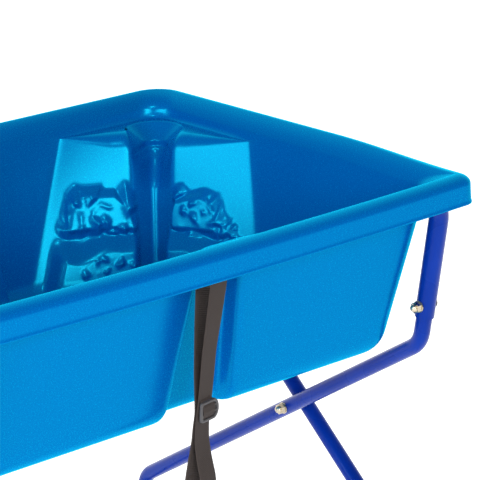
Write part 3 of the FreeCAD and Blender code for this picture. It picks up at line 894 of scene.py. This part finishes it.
BUCKLE_HALF_LENGTH = 13.5
BUCKLE_HALF_HEIGHT = 11.0
BUCKLE_END_RADIUS = 7.0
BUCKLE_BARS = (-3.2, 4.6)
BUCKLE_PLACE = (-22.5, -284.0, 484.5)
BUCKLE_TWIST = 9.0
BUCKLE_LEAN = 4.0


def rounded(angle, half_wide, half_deep):
    """A point of a bar's outline, between a circle and a square."""
    wide = math.copysign(abs(math.cos(angle)) ** 0.6, math.cos(angle)) * half_wide
    deep = math.copysign(abs(math.sin(angle)) ** 0.6, math.sin(angle)) * half_deep
    return wide, deep


def bar(line, half_wide, half_deep, closed):
    """Vertices and faces of a rounded bar along a line in the buckle's plane."""
    line = np.asarray(line, float)
    ahead = directions(line, closed)
    side = np.stack([ahead[:, 1], -ahead[:, 0]], axis=1)
    around = 12
    vertices = []
    for place, out in zip(line, side):
        for k in range(around):
            wide, deep = rounded(2 * math.pi * k / around, half_wide, half_deep)
            vertices.append((place[0] + out[0] * wide, deep, place[1] + out[1] * wide))
    return vertices, tube_faces(len(line), around, closed)


def soft_loop(points):
    """A closed line in the buckle's plane with rounded corners."""
    points = np.array(points + points[:1], float)
    along = distances(points)
    places = np.linspace(0.0, along[-1], 160, endpoint=False)
    return smooth_loop(at_places(places, along, points), 6, 2.0)


def buckle_outline():
    """The slide's frame: a straight left end and a rounded right end."""
    end, tall = BUCKLE_HALF_LENGTH, BUCKLE_HALF_HEIGHT
    turn_x = end - BUCKLE_END_RADIUS
    line = [(-end, tall), (-end, -tall), (turn_x, -tall)]
    for degrees in range(-80, 81, 10):
        angle = math.radians(degrees)
        x = turn_x + BUCKLE_END_RADIUS * math.cos(angle)
        line.append((x, tall * math.sin(angle)))
    return soft_loop(line + [(turn_x, tall)])


def make_buckle():
    """A three-bar slide with a rounded right end, leaning and turned with the strap."""
    left, right = -BUCKLE_HALF_LENGTH, BUCKLE_HALF_LENGTH - 1.0
    pieces = [bar(buckle_outline(), 2.0, 2.2, True)]
    for level in BUCKLE_BARS:
        pieces.append(bar([(left, level), (0.0, level), (right, level)], 1.5, 1.6, False))
    vertices, faces = joined(*pieces)
    place = Matrix.Translation(BUCKLE_PLACE)
    twist = Matrix.Rotation(math.radians(BUCKLE_TWIST), 4, "Z")
    turn = twist @ Matrix.Rotation(math.radians(BUCKLE_LEAN), 4, "X")
    moved = [tuple(place @ turn @ Vector(v)) for v in vertices]
    buckle = mesh_object("strap_slide", moved, faces)
    buckle.data.shade_smooth()
    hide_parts("strap_buckle")
    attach(buckle, "strap")
    return buckle


strap = make_strap()
buckle = make_buckle()


# --------------------------------------------------------------- materials


def new_material(name):
    material = bpy.data.materials.new(name)
    material.use_nodes = True
    nodes = material.node_tree.nodes
    shader = nodes["Principled BSDF"]
    return material, nodes, material.node_tree.links, shader


def noise(nodes, scale, detail=2.0, rough=0.5):
    texture = nodes.new("ShaderNodeTexNoise")
    texture.inputs["Scale"].default_value = scale
    texture.inputs["Detail"].default_value = detail
    texture.inputs["Roughness"].default_value = rough
    return texture


def object_coordinates(nodes, links, *textures):
    place = nodes.new("ShaderNodeTexCoord")
    for texture in textures:
        links.new(place.outputs["Object"], texture.inputs["Vector"])


def varied_colour(nodes, links, shader, factor, dark, light, edges=(0.3, 0.7)):
    """Lets a shader's colour wander between two colours."""
    ramp = nodes.new("ShaderNodeValToRGB")
    for element, edge, colour in zip(ramp.color_ramp.elements, edges, (dark, light)):
        element.position = edge
        element.color = (*colour, 1.0)
    links.new(factor, ramp.inputs["Fac"])
    links.new(ramp.outputs["Color"], shader.inputs["Base Color"])


def bumped(nodes, links, shader, height, strength, distance):
    """Gives a shader fine relief."""
    node = nodes.new("ShaderNodeBump")
    node.inputs["Strength"].default_value = strength
    node.inputs["Distance"].default_value = distance
    links.new(height, node.inputs["Height"])
    links.new(node.outputs["Normal"], shader.inputs["Normal"])


def varied_roughness(nodes, links, shader, factor, smooth, rough):
    """Lets a shader's roughness wander between two values."""
    spread = nodes.new("ShaderNodeMapRange")
    spread.inputs["To Min"].default_value = smooth
    spread.inputs["To Max"].default_value = rough
    links.new(factor, spread.inputs["Value"])
    links.new(spread.outputs["Result"], shader.inputs["Roughness"])


def tub_plastic():
    """Coloured plastic under a tinted gloss, with a faint grain."""
    material, nodes, links, shader = new_material("tub_plastic")
    grain = noise(nodes, 900.0, 2.0)
    object_coordinates(nodes, links, grain)
    factor = grain.outputs["Fac"]
    varied_colour(nodes, links, shader, factor, (0.0, 0.075, 0.312), (0.0, 0.079, 0.328))
    shader.inputs["Roughness"].default_value = 0.8
    shader.inputs["Specular IOR Level"].default_value = 0.0
    gloss = nodes.new("ShaderNodeBsdfGlossy")
    gloss.inputs["Color"].default_value = (0.008, 0.76, 1.0, 1.0)
    varied_roughness(nodes, links, gloss, factor, 0.25, 0.29)
    sheen = nodes.new("ShaderNodeFresnel")
    sheen.inputs["IOR"].default_value = 1.9
    mix = nodes.new("ShaderNodeMixShader")
    links.new(sheen.outputs["Fac"], mix.inputs["Fac"])
    links.new(shader.outputs["BSDF"], mix.inputs[1])
    links.new(gloss.outputs["BSDF"], mix.inputs[2])
    links.new(mix.outputs["Shader"], nodes["Material Output"].inputs["Surface"])
    return material


def tube_paint():
    """Glossy blue paint over tube, with a slight orange peel."""
    material, nodes, links, shader = new_material("tube_paint")
    peel = noise(nodes, 350.0, 2.0)
    drift = noise(nodes, 12.0, 2.0)
    object_coordinates(nodes, links, peel, drift)
    factor = drift.outputs["Fac"]
    varied_colour(nodes, links, shader, factor, (0.001, 0.018, 0.20), (0.002, 0.024, 0.24))
    varied_roughness(nodes, links, shader, factor, 0.22, 0.32)
    bumped(nodes, links, shader, peel.outputs["Fac"], 0.12, 0.0004)
    shader.inputs["Specular Tint"].default_value = (0.15, 0.35, 1.0, 1.0)
    shader.inputs["Specular IOR Level"].default_value = 0.25
    shader.inputs["Coat Weight"].default_value = 0.05
    shader.inputs["Coat Roughness"].default_value = 0.12
    return material


def zinc():
    """Yellow-passivated zinc with streaks."""
    material, nodes, links, shader = new_material("zinc")
    streak = noise(nodes, 220.0, 4.0, 0.6)
    object_coordinates(nodes, links, streak)
    factor = streak.outputs["Fac"]
    dark, light = (0.44, 0.39, 0.30), (0.62, 0.54, 0.40)
    varied_colour(nodes, links, shader, factor, dark, light, edges=(0.35, 0.65))
    varied_roughness(nodes, links, shader, factor, 0.18, 0.38)
    bumped(nodes, links, shader, factor, 0.15, 0.0003)
    shader.inputs["Metallic"].default_value = 1.0
    return material


def dull(name, dark, light, scale, smooth, rough, depth):
    """Rubber, matte plastic or webbing with a grain."""
    material, nodes, links, shader = new_material(name)
    grain = noise(nodes, scale, 3.0)
    object_coordinates(nodes, links, grain)
    factor = grain.outputs["Fac"]
    varied_colour(nodes, links, shader, factor, dark, light)
    varied_roughness(nodes, links, shader, factor, smooth, rough)
    bumped(nodes, links, shader, factor, 0.25, depth)
    return material


PLASTIC = tub_plastic()
PAINT = tube_paint()
ZINC = zinc()
RUBBER = dull("foot_rubber", (0.012, 0.012, 0.013), (0.03, 0.03, 0.032), 600.0, 0.6, 0.8, 0.0004)
SPACER = dull("spacer_plastic", (0.015, 0.015, 0.017), (0.03, 0.03, 0.034), 500.0, 0.4, 0.55, 0.0002)
BUCKLE = dull("buckle_plastic", (0.03, 0.028, 0.03), (0.05, 0.047, 0.05), 700.0, 0.35, 0.5, 0.0002)
WEBBING = dull("webbing", (0.014, 0.008, 0.006), (0.030, 0.021, 0.018), 1500.0, 0.75, 0.9, 0.0003)

SLOT_MATERIALS = {
    "tube_paint": PAINT,
    "zinc": ZINC,
    "foot_rubber": RUBBER,
    "spacer_plastic": SPACER,
    "buckle_plastic": BUCKLE,
    "webbing": WEBBING,
}


def dress(thing, material):
    thing.data.materials.clear()
    thing.data.materials.append(material)


dress(tub, PLASTIC)
dress(strap, WEBBING)
dress(buckle, BUCKLE)
for part in frame["record"]["subparts"]:
    chosen = SLOT_MATERIALS.get(part["material_slot"])
    if chosen is None:
        continue
    shown = frame["nodes"][part["node"]]
    dress(shown, chosen)


# ---------------------------------------------------- stage, light, camera


FLOOR_REACH = 9000
TOWARDS_BACK = (0.62, 0.78, -0.05)
CAMERA_PLACE = (-1.6427, -2.3000, 1.5234)
CAMERA_RIGHT = (0.76299, -0.64577, -0.02891)
CAMERA_UP = (0.21928, 0.21649, 0.95134)
CAMERA_AHEAD = (0.60809, 0.73220, -0.30678)
WATERFALL = (0.25, 0.22, 0.63)
FUNNEL_CORNER = (0.33, 0.27, 0.69)


def make_floor():
    """A pale paper floor."""
    floor = mesh_object(
        "floor",
        [(-FLOOR_REACH, -FLOOR_REACH, 0), (FLOOR_REACH, -FLOOR_REACH, 0),
         (FLOOR_REACH, FLOOR_REACH, 0), (-FLOOR_REACH, FLOOR_REACH, 0)],
        [(0, 1, 2, 3)],
    )
    material, nodes, links, shader = new_material("floor_paper")
    mottle = noise(nodes, 3.0, 2.0)
    object_coordinates(nodes, links, mottle)
    dark, light = (0.93, 0.93, 0.93), (0.97, 0.97, 0.97)
    varied_colour(nodes, links, shader, mottle.outputs["Fac"], dark, light)
    shader.inputs["Roughness"].default_value = 0.9
    shader.inputs["Emission Color"].default_value = (1.0, 1.0, 1.0, 1.0)
    shader.inputs["Emission Strength"].default_value = 0.65
    dress(floor, material)


def make_surround():
    """A white surround, brightest behind the tub."""
    world = bpy.data.worlds.new("surround")
    world.use_nodes = True
    nodes, links = world.node_tree.nodes, world.node_tree.links
    background = nodes["Background"]
    background.inputs["Color"].default_value = (1.0, 1.0, 1.0, 1.0)
    direction = nodes.new("ShaderNodeTexCoord")
    behind = nodes.new("ShaderNodeVectorMath")
    behind.operation = "DOT_PRODUCT"
    behind.inputs[1].default_value = TOWARDS_BACK
    fade = nodes.new("ShaderNodeMapRange")
    fade.inputs["From Min"].default_value = 0.20
    fade.inputs["From Max"].default_value = 0.98
    fade.inputs["To Min"].default_value = 0.34
    fade.inputs["To Max"].default_value = 2.2
    links.new(direction.outputs["Generated"], behind.inputs[0])
    links.new(behind.outputs["Value"], fade.inputs["Value"])
    links.new(fade.outputs["Result"], background.inputs["Strength"])
    bpy.context.scene.world = world


def soft_light(name, place, aim, size, power):
    """A soft box that points at a spot, all in metres and watts."""
    data = bpy.data.lights.new(name, "AREA")
    data.shape = "RECTANGLE"
    data.size, data.size_y = size
    data.energy = power
    lamp = bpy.data.objects.new(name, data)
    lamp.location = place
    direction = Vector(aim) - Vector(place)
    lamp.rotation_euler = direction.to_track_quat("-Z", "Y").to_euler()
    bpy.context.scene.collection.objects.link(lamp)


def make_camera():
    """A long lens on the near left of the tub, at the photograph's angle."""
    data = bpy.data.cameras.new("camera")
    data.lens = 180.0
    data.sensor_width = 36.0
    data.clip_end = 50.0
    camera = bpy.data.objects.new("camera", data)
    turn = Matrix((CAMERA_RIGHT, CAMERA_UP, -Vector(CAMERA_AHEAD))).transposed().to_4x4()
    camera.matrix_world = Matrix.Translation(CAMERA_PLACE) @ turn
    bpy.context.scene.collection.objects.link(camera)
    bpy.context.scene.camera = camera


make_floor()
make_surround()
soft_light("front_box", (-1.00, -3.22, 1.96), WATERFALL, (1.5, 1.1), 64.0)
soft_light("left_box", (-3.57, -0.59, 1.50), WATERFALL, (3.4, 1.3), 108.0)
soft_light("corner_box", (-0.98, -1.26, 2.93), FUNNEL_CORNER, (0.5, 0.35), 16.0)
make_camera()
bpy.context.scene.view_settings.view_transform = "Standard"
